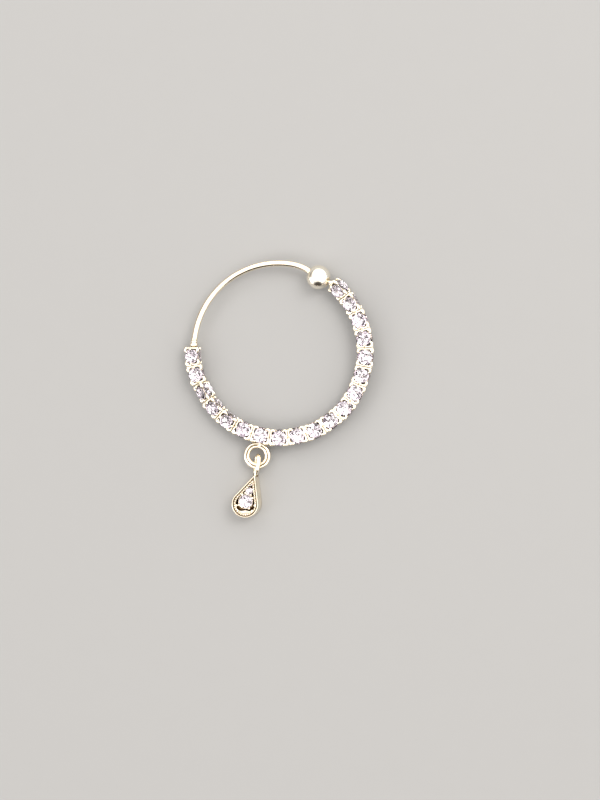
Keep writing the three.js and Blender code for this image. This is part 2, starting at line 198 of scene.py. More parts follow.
# Light: each part of the sky has a direction and the cosines from it where it begins and is full
TENT_SIDE = ((0.45, 0.38, 0.8), 0.2, 0.65)
TENT_TOP = ((0.34, 0.28, 1), 0.05, 0.3)
LEFT_SIDE = ((-0.9, -0.45, 0.2), 0.86, 0.95)
NEAR_SIDE = ((0, -1, 0.4), 0.83, 0.92)
TENT_OPENING = ((0.17, 0.07, 1), 0.95, 0.99)
DARK_NEAR_SIDE = (0.03, 0.024, 0.02, 1)
DIM_ROOM = (0.09, 0.078, 0.07, 1)
SHADED_TENT = (0.8, 0.785, 0.77, 1)
BRIGHT_TENT = (1.0, 0.985, 0.965, 1)
TENT_STRENGTH = 1.9
LAMPS = (
    # name, azimuth (0 is +Y, 90 is +X), elevation, distance and size in metres, watts, colour
    ("lamp_key", 50, 48, 0.45, (0.22, 0.22), 1.1, (1, 0.985, 0.96)),
    ("lamp_back", -25, 40, 0.5, (0.3, 0.15), 0.3, (0.96, 0.98, 1)),
    ("lamp_left", -110, 35, 0.5, (0.16, 0.3), 0.4, (1, 0.98, 0.96)),
)

rng = np.random.default_rng(19)


# Small maths


def unit(v):
    """Vectors divided by their lengths."""
    return v / np.linalg.norm(v, axis=-1, keepdims=True)


def turn(axis, degrees):
    """Matrix that turns columns about an axis: cos I + sin [a]x + (1 - cos) a aT."""
    a = unit(np.asarray(axis, float))
    c, s = math.cos(math.radians(degrees)), math.sin(math.radians(degrees))
    cross = np.array([[0, -a[2], a[1]], [a[2], 0, -a[0]], [-a[1], a[0], 0]])
    return c * np.eye(3) + s * cross + (1 - c) * np.outer(a, a)


def smooth(t):
    """Soft step from 0 to 1: 3t^2 - 2t^3 with t held between 0 and 1."""
    t = np.clip(t, 0, 1)
    return t * t * (3 - 2 * t)


def full_circle(count):
    """Angles evenly spaced round a circle, in radians."""
    return np.linspace(0, 2 * math.pi, count, endpoint=False)


def line_radius(angle):
    """Distance of the wire's line from the hoop's middle: the hoop radius less a bell-shaped dip at the
    ball, R - d exp(-(off / spread)^2)."""
    off = (np.asarray(angle, float) - BALL_ANGLE + 180) % 360 - 180
    return HOOP_RADIUS - CLOSURE_DIP * np.exp(-((off / CLOSURE_SPREAD) ** 2))


def line_point(angle):
    """Points of the wire's line: (r cos a, r sin a, 0)."""
    a = np.radians(angle)
    r = line_radius(angle)
    return np.stack([r * np.cos(a), r * np.sin(a), 0 * a], -1)


def half_turn(angle):
    """Half the angle at the hoop's middle that one bead takes up."""
    return math.degrees(BEAD_HALF / line_radius(angle))


# Shells: rings of points joined into closed skins


def shell(rings, ring_closed=False):
    """Skin over rings[along, around, xyz]: quads between neighbours, and at each end a fan to the ring's
    mean point."""
    n, m = rings.shape[:2]
    at = np.arange(n * m).reshape(n, m)
    nxt = np.roll(at, -1, 1)
    points = rings.reshape(-1, 3)
    if ring_closed:
        quads = np.stack([at, nxt, np.roll(nxt, -1, 0), np.roll(at, -1, 0)], -1).reshape(-1, 4)
        tris = np.zeros((0, 3), int)
    else:
        quads = np.stack([at[:-1], nxt[:-1], nxt[1:], at[1:]], -1).reshape(-1, 4)
        poles = np.stack([rings[0].mean(0), rings[-1].mean(0)])
        points = np.concatenate([points, poles])
        first = np.stack([np.full(m, n * m), nxt[0], at[0]], -1)
        last = np.stack([np.full(m, n * m + 1), at[-1], nxt[-1]], -1)
        tris = np.concatenate([first, last])
    return {"points": points, "quads": quads, "tris": tris, "flat": False}


def moved(part, matrix=None, shift=(0, 0, 0)):
    """The same shell turned by a matrix and then shifted."""
    points = part["points"] if matrix is None else part["points"] @ np.asarray(matrix).T
    return {**part, "points": points + np.asarray(shift, float)}


def bar(path, radii, across, sides, squash=1.0):
    """Round bar: circles of the given radii about a path that lies in the plane square to `across`."""
    path = np.asarray(path, float)
    along = unit(np.gradient(path, axis=0))
    b = unit(np.asarray(across, float)) * np.ones_like(path)
    n = unit(np.cross(b, along))
    theta = full_circle(sides)[None, :, None]
    radii = np.broadcast_to(np.asarray(radii, float), len(path))[:, None, None]
    return shell(path[:, None] + radii * (np.cos(theta) * n[:, None] * squash + np.sin(theta) * b[:, None]))


def rounded_end(path, radii):
    """Path and radii with a half-round added at the last point: radius r cos q, r sin q further on."""
    on = unit(path[-1] - path[-2])
    q = np.linspace(0, math.pi / 2, 5)[1:]
    tip = path[-1] + radii[-1] * np.sin(q)[:, None] * on
    return np.concatenate([path, tip]), np.concatenate([radii, radii[-1] * np.cos(q) + 1e-4])


def turned_about(profile, sides, axis="x", ring_closed=False):
    """Surface of revolution: each (along, radius) of the profile becomes a circle about the axis."""
    profile = np.asarray(profile, float)
    theta = full_circle(sides)
    r = profile[:, 1:2]
    flat = np.broadcast_to(profile[:, :1], (len(profile), sides))
    c, s = r * np.cos(theta), r * np.sin(theta)
    rings = np.stack([flat, c, s], -1) if axis == "x" else np.stack([c, s, flat], -1)
    return shell(rings, ring_closed)


def softened(corners, radius, steps):
    """Polyline with each inner corner replaced by a quadratic arc that starts and ends `radius` from it,
    or at 0.45 of a side that is short."""
    corners = np.asarray(corners, float)
    most = 0.45
    t = np.linspace(0, 1, steps + 1)[:, None]
    pieces = [corners[:1]]
    for before, corner, after in zip(corners[:-2], corners[1:-1], corners[2:]):
        into, out = before - corner, after - corner
        a = corner + into * min(most, radius / max(np.linalg.norm(into), 1e-9))
        b = corner + out * min(most, radius / max(np.linalg.norm(out), 1e-9))
        pieces.append((1 - t) ** 2 * a + 2 * t * (1 - t) * corner + t * t * b)
    pieces.append(corners[-1:])
    return np.concatenate(pieces)


def ball(radius, centre, sides, rings):
    """Small bead: circles of radius r sin q at height -r cos q, with tiny flats at the poles."""
    pole = 0.15
    q = np.linspace(pole, math.pi - pole, rings)
    profile = np.stack([-np.cos(q) * radius, np.sin(q) * radius], -1)
    return moved(turned_about(profile, sides, "z"), shift=centre)


# Places


def lean_matrix():
    """The hoop leans a touch, because the ball is fatter than the beads."""
    lean = math.degrees(math.asin((BALL_RADIUS - CLAW_REACH) / (2 * HOOP_RADIUS)))
    a = math.radians(BALL_ANGLE)
    return turn((-math.sin(a), math.cos(a), 0), -lean)


def frame_shift():
    """Where the hoop's middle lies in the frame, read from the frame's large drop stone and ball."""
    low, high = (np.array(c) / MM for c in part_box("drop_stone_large"))
    _, along, across, _, _ = DROP_STONES[0]
    made = turn((0, 0, 1), DROP_TURN)[:2, :2] @ (across, along) + DROP_CENTRE
    ball_low, ball_high = (np.array(c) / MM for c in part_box("catch_ball"))
    ball_made = lean_matrix() @ line_point(BALL_ANGLE)
    height = (ball_low[2] + ball_high[2]) / 2 - ball_made[2] - (BALL_RADIUS + CLAW_REACH) / 2
    return np.array([*((low + high)[:2] / 2 - made), height])


SHIFT = frame_shift()
LEAN = lean_matrix()
HOOP_MIDDLE = SHIFT + (0, 0, (BALL_RADIUS + CLAW_REACH) / 2)
DROP_FRAME = turn((0, 0, 1), DROP_TURN)
DROP_SHIFT = SHIFT + (*DROP_CENTRE, 0)


def on_hoop(points):
    """Points of the hoop's own plane, leaned and lifted to their place."""
    return points @ LEAN.T + HOOP_MIDDLE


def bent_on(points, angle, tip_out):
    """Bead metal laid round the hoop: X becomes angle about the hoop's middle, Y comes off the radius."""
    p = points @ turn((1, 0, 0), tip_out).T
    r0 = line_radius(angle)
    a = math.radians(angle) + p[:, 0] / r0
    r = r0 - p[:, 1]
    return on_hoop(np.stack([r * np.cos(a), r * np.sin(a), p[:, 2]], -1))


def set_on(points, angle, tip_out):
    """Points moved stiffly: tipped about X, turned to the hoop's tangent, shifted to its line."""
    p = points @ turn((1, 0, 0), tip_out).T @ turn((0, 0, 1), angle + 90).T
    return on_hoop(p + line_point(angle))


def on_drop(points):
    """Points of the drop's own axes moved to its place."""
    return points @ DROP_FRAME.T + DROP_SHIFT


def bead_angles():
    """Middles of the beads, one pitch apart along the bent wire."""
    angles = [FIRST_BEAD_ANGLE]
    while len(angles) < len(TIP_OUT):
        angles.append(angles[-1] + math.degrees(BEAD_PITCH / line_radius(angles[-1])))
    return angles


ANGLES = bead_angles()


# Pieces


def gather(parts):
    """Points, faces, flat flags and tints of faces, and lifts of points, of shells laid one after another."""
    faces, flat, tints, lifts = [], [], [], []
    start = 0
    for part in parts:
        for block in (part["quads"], part["tris"]):
            faces += (block + start).tolist()
            flat += [part["flat"]] * len(block)
        tints.append(part.get("tint", np.zeros(len(part["quads"]) + len(part["tris"]))))
        lifts.append(part.get("lift", np.ones(len(part["points"]))))
        start += len(part["points"])
    points = np.concatenate([part["points"] for part in parts])
    return points, faces, np.array(flat), np.concatenate(tints), np.concatenate(lifts)


def make_piece(name, parts, materials, nodes, place):
    """Blender piece from shells: placed, in metres, shaded, with its finish and its body, and with the
    model's parts it stands for hidden. A second material goes on the faces whose tint is below 0."""
    points, faces, flat, tints, lifts = gather(parts)
    points = place(points)
    mesh = bpy.data.meshes.new(name)
    mesh.from_pydata((points * MM).tolist(), [], faces)
    mesh.polygons.foreach_set("use_smooth", ~flat)
    for material in materials:
        mesh.materials.append(material)
    if len(materials) > 1:
        mesh.polygons.foreach_set("material_index", (tints < 0).astype(np.int32))
    tint = mesh.attributes.new("tint", "FLOAT", "FACE")
    tint.data.foreach_set("value", np.abs(tints).astype(np.float32))
    # Lift: 1 keeps the metal's own colour, 0 lays on its painted shade colour
    lift = mesh.attributes.new("lift", "FLOAT", "POINT")
    lift.data.foreach_set("value", lifts.astype(np.float32))
    mesh.update()
    piece = bpy.data.objects.new(name, mesh)
    bpy.context.scene.collection.objects.link(piece)
    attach(piece, "root")
    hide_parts(*nodes)


# Stones


def corners_of(level):
    """Numbers of a level's corners, and of the next corner round from each."""
    first = CORNERS * level + np.arange(CORNERS)
    return first, CORNERS * level + (np.arange(CORNERS) + 1) % CORNERS


def cut_stone(radius, pavilion, spin):
    """Full-cut round stone. Crown: eight-sided table, eight star tips, sixteen girdle corners; the kite
    planes run from table corner to girdle and give the tips their height. Below: staggered rings of
    sixteen corners and a point, at depths that follow 1 - r^1.6, each corner a hair off. Upper faces
    have a positive tint and lower ones a negative one.

    Points: 0 table, 8 star tips, 16 and 32 girdle, 48 pavilion rings, 96 point, 97 table's middle."""
    half_eighth = math.radians(22.5)
    eighth = np.radians(45 * np.arange(8) + spin)
    between = eighth + half_eighth
    sixteenth = np.radians(22.5 * np.arange(CORNERS) + spin)

    def circle(r, angle, z):
        return np.stack([r * np.cos(angle), r * np.sin(angle), z + 0 * angle], -1)

    star_z = GIRDLE_EDGE + (CROWN_HEIGHT - GIRDLE_EDGE) * (1 - STAR * math.cos(half_eighth)) / (1 - TABLE)
    depth = GIRDLE_EDGE + (pavilion - GIRDLE_EDGE) * (1 - PAVILION_RINGS ** PAVILION_POWER)
    stagger = np.radians(11.25) * np.array([1, 2, 3])
    rings = [
        circle(r, sixteenth + turned_by, -d + rng.uniform(-CORNER_JITTER, CORNER_JITTER, CORNERS))
        for r, d, turned_by in zip(PAVILION_RINGS, depth, stagger)
    ]
    points = np.concatenate([
        circle(TABLE, eighth, CROWN_HEIGHT),
        circle(STAR, between, star_z),
        circle(1, sixteenth, GIRDLE_EDGE),
        circle(1, sixteenth, -GIRDLE_EDGE),
        *rings,
        [[0, 0, -pavilion], [0, 0, CROWN_HEIGHT]],
    ]) * radius

    k = np.arange(8)
    after, before = (k + 1) % 8, (k - 1) % 8
    point, top = np.full(CORNERS, 96), np.full(8, 97)
    upper = [
        np.stack(corners, -1)
        for corners in (
            (top, k, after),
            (k, 8 + k, after),
            (8 + k, 16 + 2 * k, 17 + 2 * k),
            (8 + k, 17 + 2 * k, 16 + (2 * k + 2) % CORNERS),
        )
    ]
    kites = np.stack([k, 8 + before, 16 + 2 * k, 8 + k], -1)
    (u0, u1), (l0, l1) = corners_of(1), corners_of(2)
    girdle = np.stack([l0, l1, u1, u0], -1)
    lower = []
    for level in (2, 3, 4):
        (a0, a1), (b0, b1) = corners_of(level), corners_of(level + 1)
        lower += [np.stack([a0, b0, a1], -1), np.stack([a1, b0, b1], -1)]
    last, following = corners_of(5)
    lower.append(np.stack([last, point, following], -1))
    lower = np.concatenate(lower)

    upper_tint = rng.uniform(LEAST_TINT, 1, (4, 8))
    upper_tint[0] = upper_tint[0, 0]
    kite_tint = rng.uniform(LEAST_TINT, 1, 8)
    girdle_tint = rng.uniform(LEAST_TINT, 1, CORNERS)
    lower_tint = -rng.uniform(LEAST_TINT, 1, len(lower))
    return {
        "points": points,
        "quads": np.concatenate([kites, girdle]),
        "tris": np.concatenate([*upper, lower]),
        "flat": True,
        "tint": np.concatenate([kite_tint, girdle_tint, upper_tint.ravel(), lower_tint]),
    }


def bead_stones(rows):
    """Stones of one bead, each on its row and spun by its own amount."""
    stones = []
    for row in rows:
        stone = cut_stone(STONE_RADIUS, PAVILION_DEPTH / STONE_RADIUS, rng.uniform(0, 45))
        stone = moved(stone, shift=(0, 0, GIRDLE_HEIGHT))
        stones.append(moved(stone, turn((1, 0, 0), -row)))
    return stones


# Metal of a bead


def end_frame(x):
    """Three-cornered loop of square wire, corners on the ridges: r = side / (sum of
    max(cos(a - side angle), 0)^p)^(1/p). Its section is |u|^4 + |v|^4 = 1, stretched outwards."""
    a = full_circle(72)
    sides = np.maximum(np.cos(a[:, None] - np.radians(ROWS)[None, :]), 0) ** FRAME_CORNER_POWER
    r = FRAME_SIDE / sides.sum(1) ** (1 / FRAME_CORNER_POWER)
    out = np.stack([0 * a, np.sin(a), np.cos(a)], -1)
    path = r[:, None] * out + (x, 0, 0)
    theta = full_circle(16)
    c, d = np.cos(theta), np.sin(theta)
    c, d = np.sign(c) * np.sqrt(np.abs(c)), np.sign(d) * np.sqrt(np.abs(d))
    along = FRAME_HALF * c[None, :, None] * np.array([-1.0, 0, 0])
    outwards = FRAME_HALF_OUT * d[None, :, None] * out[:, None]
    return shell(path[:, None] + along + outwards, True)


def hook(corners, steps, root, taper, sides, squash, end, angle):
    """Bar bent along its corners in a plane through the bead's axis, with a round tip, at one end of the
    bead and turned round the axis to its place. Its radius starts at `root` and falls evenly by `taper`."""
    plane = softened(corners, 0.1, steps)
    path = np.stack([plane[:, 0], 0 * plane[:, 0], plane[:, 1]], -1)
    path, radii = rounded_end(path, root - taper * np.linspace(0, 1, len(path)))
    part = bar(path, radii, (0, 1, 0), sides, squash)
    if end < 0:
        part = moved(part, turn((0, 0, 1), 180))
    return moved(part, turn((1, 0, 0), -angle))


def claw(end, ridge):
    """Stout hook on the end frame's corner: up, over and down on the two stones' edges."""
    return hook(CLAW_PATH, 4, CLAW_RADIUS, CLAW_TAPER, 14, CLAW_SQUASH, end, ridge)


def prong(end, row):
    """Round-headed prong on the row's middle line, leaning over the stone's edge."""
    return hook(PRONG_PATH, 3, PRONG_RADIUS, 0, 12, 1.0, end, row)


def ridge_bar(ridge):
    """Gallery wire along a ridge between the two end frames, risen at its ends by (x / half)^2."""
    x = np.linspace(-GALLERY_HALF, GALLERY_HALF, 9)
    path = np.stack([x, 0 * x, GALLERY_HEIGHT + GALLERY_RISE * (x / GALLERY_HALF) ** 2], -1)
    return moved(bar(path, GALLERY_RADIUS, (0, 1, 0), 8), turn((1, 0, 0), -ridge))


def bead_barrel():
    """Tube round the core, waisted under the stones, with a flange at each end, closed on itself."""
    end = BEAD_HALF - 0.01
    outer = softened([
        # along, radius
        (-end, COLLAR_HOLE),
        (-end, FLANGE_RADIUS),
        (-FLANGE_START, FLANGE_RADIUS),
        (-WAIST_HALF, BARREL_WAIST),
        (WAIST_HALF, BARREL_WAIST),
        (FLANGE_START, FLANGE_RADIUS),
        (end, FLANGE_RADIUS),
        (end, COLLAR_HOLE),
    ], 0.04, 3)
    return turned_about(outer, 20, ring_closed=True)


def depth_from_axis(points):
    """How far a point of a bead stands out: 0 at the barrel, 1 at the claws' tips. It sets how much painted
    shade the point gets, full at the barrel.
    """
    return smooth((np.hypot(points[:, 1], points[:, 2]) - LIFT_START) / LIFT_SPAN)


def bead_setting(rows):
    """All metal of one bead, in the bead's own axes."""
    frame_middle = BEAD_HALF - END_PLAY - FRAME_HALF
    parts = [bead_barrel(), end_frame(frame_middle), end_frame(-frame_middle)]
    parts += [claw(end, ridge) for end in (1, -1) for ridge in RIDGES]
    parts += [prong(end, row) for end in (1, -1) for row in rows]
    parts += [ridge_bar(ridge) for ridge in RIDGES]
    # Painted shade round the barrel between the stones, none at the claws' tips
    return [{**part, "lift": depth_from_axis(part["points"])} for part in parts]


def double_wire():
    """Ring of two wires soldered side by side. Its section is two overlapping circles of radius a, their
    middles c to each side: r = c |cos q| + sqrt(a^2 - c^2 sin^2 q), stretched upwards. Its lift is 0 in
    the valleys and 1 before the wires' crests, so the drop gold's painted shade fills the valleys between the
    wires."""
    a = full_circle(96)[:, None, None]
    q = full_circle(40)
    r = RING_STRAND_APART * np.abs(np.cos(q))
    r = r + np.sqrt(RING_STRAND_RADIUS ** 2 - (RING_STRAND_APART * np.sin(q)) ** 2)
    inwards = (r * np.cos(q))[None, :, None]
    upwards = (RING_STRAND_TALL * r * np.sin(q))[None, :, None]
    out = np.concatenate([np.cos(a), np.sin(a), 0 * a], -1)
    part = shell((RING_RADIUS - inwards) * out + upwards * np.array([0, 0, 1.0]), True)
    valley = math.sqrt(RING_STRAND_RADIUS ** 2 - RING_STRAND_APART ** 2)
    lift_start, lift_span = 1.15, 1.3
    return {**part, "lift": np.tile(smooth((r / valley - lift_start) / lift_span), len(a))}


def drop_ring():
    """Ring beside the band and the post that joins it to its bead. Solder thickens the post at both ends
    by (2s - 1)^4."""
    ring = moved(double_wire(), shift=(0, -RING_OUT, -RING_DROP))
    out = RING_OUT - RING_RADIUS
    s = np.linspace(0, 1, 12)
    foot = 0.8 * BARREL_RADIUS
    y = -(foot + (out - foot) * s)
    path = np.stack([0 * s, y, -RING_DROP * (-y / out)], -1)
    return [ring, bar(path, POST_RADIUS + SOLDER * (2 * s - 1) ** 4, (1, 0, 0), 16)]


# Shaders


def add(tree, kind, **settings):
    """New node with its properties set."""
    node = tree.nodes.new(kind)
    for key, value in settings.items():
        setattr(node, key, value)
    return node


def noise(tree, place, scale, detail=2, distortion=0):
    """Noise in the object's own space, with about `scale` waves to the metre."""
    texture = add(tree, "ShaderNodeTexNoise")
    texture.inputs["Scale"].default_value = scale
    texture.inputs["Detail"].default_value = detail
    texture.inputs["Distortion"].default_value = distortion
    tree.links.new(place, texture.inputs["Vector"])
    return texture.outputs["Fac"]


def times_plus(tree, value, factor, more):
    """A value times a factor, plus another value."""
    node = add(tree, "ShaderNodeMath", operation="MULTIPLY_ADD")
    tree.links.new(value, node.inputs[0])
    node.inputs[1].default_value = factor
    tree.links.new(more, node.inputs[2])
    return node.outputs[0]


def ramp(tree, value, low, high, interpolation="LINEAR"):
    """0 where a value is `low` and 1 where it is `high`."""
    node = add(tree, "ShaderNodeMapRange", interpolation_type=interpolation)
    node.inputs["From Min"].default_value = low
    node.inputs["From Max"].default_value = high
    tree.links.new(value, node.inputs["Value"])
    return node.outputs["Result"]


def blended(tree, mask, low, high, blend="MIX"):
    """Colour that goes from `low` to `high` with a mask; each is a colour or an output."""
    mix = add(tree, "ShaderNodeMix", data_type="RGBA", blend_type=blend)
    tree.links.new(mask, mix.inputs["Factor"])
    for label, colour in (("A", low), ("B", high)):
        if isinstance(colour, tuple):
            mix.inputs[label].default_value = colour
        else:
            tree.links.new(colour, mix.inputs[label])
    return mix.outputs["Result"]


def new_material(name):
    """Material with its node tree and its one shader."""
    material = bpy.data.materials.new(name)
    material.use_nodes = True
    tree = material.node_tree
    return material, tree, tree.nodes["Principled BSDF"]


def new_group(name, inputs, outputs):
    """Empty node group with named sockets and its input and output nodes."""
    group = bpy.data.node_groups.new(name, "ShaderNodeTree")
    for label, kind, value in inputs:
        socket = group.interface.new_socket(label, in_out="INPUT", socket_type=kind)
        socket.default_value = value
    for label, kind in outputs:
        group.interface.new_socket(label, in_out="OUTPUT", socket_type=kind)
    return group, group.nodes.new("NodeGroupInput"), group.nodes.new("NodeGroupOutput")


def use_group(tree, group, values):
    """Node of a group, placed in a material with the material's own values."""
    node = add(tree, "ShaderNodeGroup", node_tree=group)
    for label, value in values.items():
        node.inputs[label].default_value = value
    return node.outputs


def polish_group():
    """Hand polish: blotches of tone, finer wear in the roughness, soft hammer waves and hair scratches as
    a bump, and a painted shade colour where the lift attribute is low, standing in for the shade in recesses."""
    group, enter, leave = new_group(
        "hand_polish",
        [
            ("Colour", "NodeSocketColor", (1, 1, 1, 1)),
            ("Painted shade", "NodeSocketColor", (0, 0, 0, 1)),
            ("Roughness", "NodeSocketFloat", 0.15),
            ("Wear", "NodeSocketFloat", 0.3),
            ("Waves", "NodeSocketFloat", 0.2),
        ],
        [("Colour", "NodeSocketColor"), ("Roughness", "NodeSocketFloat"), ("Normal", "NodeSocketVector")],
    )
    link = group.links.new
    place = add(group, "ShaderNodeTexCoord").outputs["Object"]
    blotch = noise(group, place, 900, detail=3)
    fine = noise(group, place, 9000)
    hair = noise(group, place, 1500, detail=4, distortion=2.5)
    wave = noise(group, place, 1100, detail=1)
    # Tone: the painted shade colour where the lift is low, the metal's own where it is high, a little darker
    # in the worn blotches
    lift = add(group, "ShaderNodeAttribute", attribute_name="lift").outputs["Fac"]
    tone = blended(group, lift, enter.outputs["Painted shade"], enter.outputs["Colour"])
    worn = add(group, "ShaderNodeMath", operation="MULTIPLY")
    link(ramp(group, blotch, 0.5, 0.75), worn.inputs[0])
    link(enter.outputs["Wear"], worn.inputs[1])
    link(blended(group, worn.outputs[0], tone, STAIN, "MULTIPLY"), leave.inputs["Colour"])
    # Roughness: its own value plus fine grain and worn patches
    rough = times_plus(group, fine, 0.1, enter.outputs["Roughness"])
    link(times_plus(group, worn.outputs[0], 0.25, rough), leave.inputs["Roughness"])
    # Bump: waves from the hammer and the buffing wheel, with hair scratches on top
    bump = add(group, "ShaderNodeBump")
    bump.inputs["Distance"].default_value = 0.04 * MM
    link(enter.outputs["Waves"], bump.inputs["Strength"])
    link(times_plus(group, hair, 0.12, wave), bump.inputs["Height"])
    link(bump.outputs["Normal"], leave.inputs["Normal"])
    return group


def facet_group():
    """Facet tone: the face's random tint picks between two colours, with fine polish lines and a little
    cloud in the roughness. On the stones' undersides the dark colour is a painted dark reflection."""
    group, enter, leave = new_group(
        "facet_tone",
        [
            ("Light", "NodeSocketColor", (1, 1, 1, 1)),
            ("Dark", "NodeSocketColor", (0.5, 0.5, 0.5, 1)),
            ("Share of dark", "NodeSocketFloat", 0.3),
            ("Roughness", "NodeSocketFloat", 0.02),
        ],
        [("Colour", "NodeSocketColor"), ("Roughness", "NodeSocketFloat")],
    )
    link = group.links.new
    tint = add(group, "ShaderNodeAttribute", attribute_name="tint")
    step = add(group, "ShaderNodeMapRange")
    step.inputs["From Min"].default_value = 0
    link(tint.outputs["Fac"], step.inputs["Value"])
    link(enter.outputs["Share of dark"], step.inputs["From Max"])
    tone = blended(group, step.outputs["Result"], enter.outputs["Dark"], enter.outputs["Light"])
    link(tone, leave.inputs["Colour"])
    place = add(group, "ShaderNodeTexCoord").outputs["Object"]
    cloud = noise(group, place, 5000)
    link(times_plus(group, cloud, 0.03, enter.outputs["Roughness"]), leave.inputs["Roughness"])
    return group


POLISH = polish_group()
FACETS = facet_group()


def metal(name, colour, painted_shade, roughness, wear, waves):
    """Gold alloy: the polish group feeding a plain metallic shader, with a painted shade colour where the
    lift attribute is low.
    """
    material, tree, shader = new_material(name)
    shader.inputs["Metallic"].default_value = 1
    finish = use_group(tree, POLISH, {
        "Colour": colour, "Painted shade": painted_shade, "Roughness": roughness, "Wear": wear, "Waves": waves,
    })
    tree.links.new(finish["Colour"], shader.inputs["Base Color"])
    tree.links.new(finish["Roughness"], shader.inputs["Roughness"])
    tree.links.new(finish["Normal"], shader.inputs["Normal"])
    return material


def stone_material(name, light, dark, share, roughness, glass):
    """Stone surface: clear glass for the crown, or the mirror-bright underside of the pavilion."""
    material, tree, shader = new_material(name)
    shader.inputs["Transmission Weight"].default_value = 1 if glass else 0
    shader.inputs["Metallic"].default_value = 0 if glass else 1
    shader.inputs["IOR"].default_value = 1.65 if glass else 1.5
    tone = use_group(tree, FACETS, {
        "Light": light, "Dark": dark, "Share of dark": share, "Roughness": roughness,
    })
    tree.links.new(tone["Colour"], shader.inputs["Base Color"])
    tree.links.new(tone["Roughness"], shader.inputs["Roughness"])
    return material


GOLD = metal("polished_gold", WARM_GOLD, WARM_GOLD, roughness=0.07, wear=0.35, waves=0.5)
# The ball's paler gold is painted brightness; its satin roughness is its own
BALL_GOLD = metal("satin_gold_painted_bright", BALL_GOLD_PAINTED_BRIGHT, BALL_GOLD_PAINTED_BRIGHT, roughness=0.17, wear=0.2, waves=0.3)
# Claw and drop gold lay painted shade in their second colour; the wire's and ball's second colour is their
# own, so they carry none
CLAW_GOLD = metal("claw_gold", PALE_GOLD, CLAW_SHADE, roughness=0.08, wear=0.3, waves=0.35)
DROP_GOLD = metal("drop_gold", PALE_GOLD, DROP_SHADE, roughness=0.08, wear=0.4, waves=0.4)
CROWN = stone_material("clear_stone", CLEAR, LILAC, share=0.2, roughness=0.0, glass=True)
# The underside's dark facets are painted dark reflections
PAVILION = stone_material("stone_underside", MIRROR, PAINTED_DARK_REFLECTION, share=0.36, roughness=0.01, glass=False)


# Hoop wire, ball and collars


def make_wire():
    """One bar along the hoop's line: full radius to the shoulder, thinner through the beads, round tip.
    The full radius is hand-worked: R (0.986 - 0.012 (1 + sin 31s sin(17s + 1)))."""
    covered = math.degrees((BEADED_COLLAR + 2 * RUNNING_GAP) / HOOP_RADIUS)
    shoulder = FIRST_BEAD_ANGLE - half_turn(FIRST_BEAD_ANGLE) - covered
    upper = np.linspace(TIP_ANGLE, shoulder, 150)
    core = np.linspace(shoulder + 0.05, CORE_END_ANGLE, 220)
    path = line_point(np.concatenate([upper, core]))
    s = np.linspace(0, 1, len(upper))
    hand_worked = 0.986 - 0.012 * (1 + np.sin(31 * s) * np.sin(17 * s + 1))
    radii = np.concatenate([WIRE_RADIUS * hand_worked, np.full(len(core), CORE_RADIUS)])
    path, radii = rounded_end(path[::-1], radii[::-1])
    make_piece("hoop_wire_smooth", [bar(path, radii, (0, 0, 1), 28)], [GOLD], ["hoop_wire"], on_hoop)


def make_ball():
    """Sphere turned about the wire's line, with a blind hole at each end that follows the bent wire: near
    the axis its points are shifted by x^2 / (2 r)."""
    tip_hole, core_hole = WIRE_RADIUS + RUNNING_GAP, CORE_RADIUS + RUNNING_GAP
    lip = 0.03
    first = math.asin(core_hole / BALL_RADIUS) + lip
    last = math.pi - math.asin(tip_hole / BALL_RADIUS) - lip
    q = np.linspace(first, last, 48)
    skin = np.stack([-BALL_RADIUS * np.cos(q), BALL_RADIUS * np.sin(q)], -1)
    inside = [(-0.3, core_hole), (-0.9, core_hole), (-1.1, core_hole)]
    outside = [(1.1, tip_hole), (0.9, tip_hole), (0.4, tip_hole)]
    part = turned_about(np.concatenate([inside, skin, outside]), 64)
    p = part["points"]
    near_axis = smooth((0.8 - np.hypot(p[:, 1], p[:, 2])) / 0.4)
    bend = p[:, 0] ** 2 / (2 * line_radius(BALL_ANGLE)) * near_axis
    p = p @ turn((0, 0, 1), 180).T
    p[:, 1] += bend
    part = {**part, "points": p}
    make_piece("catch_ball_smooth", [part], [BALL_GOLD], ["catch_ball"],
               lambda points: set_on(points, BALL_ANGLE, 0))


def make_collars():
    """Collar of a thin disc and a rounded swell at the plain wire, and thin collar at the ball, each a
    closed turned ring."""
    half = BEADED_COLLAR / 2
    disc, waist = 0.37, 0.29
    step = softened([(-half, 0.3), (-half, disc), (-0.6 * half, disc), (-0.55 * half, waist)], 0.03, 3)
    beaded = [(-half, COLLAR_HOLE), *step]
    swell = np.linspace(0, math.pi, 12)
    beaded += [(0.1 - 0.23 * math.cos(a), 0.28 + 0.14 * math.sin(a)) for a in swell]
    beaded += [(half, waist), (half, COLLAR_HOLE)]
    wall, rim = THIN_COLLAR / 2, THIN_COLLAR_RADIUS
    thin = softened([(-wall, COLLAR_HOLE), (-wall, rim), (wall, rim), (wall, COLLAR_HOLE)], 0.03, 3)
    first = FIRST_BEAD_ANGLE - half_turn(FIRST_BEAD_ANGLE)
    first -= math.degrees((half + RUNNING_GAP) / HOOP_RADIUS)
    last = ANGLES[-1] + half_turn(ANGLES[-1])
    last += math.degrees((wall + RUNNING_GAP) / line_radius(last))
    for node, profile, angle in (("collar_wire_end", beaded, first), ("collar_ball_end", thin, last)):
        ring = turned_about(profile, 32, ring_closed=True)
        make_piece(node + "_smooth", [ring], [CLAW_GOLD], [node],
                   lambda points: set_on(points, angle, 0))


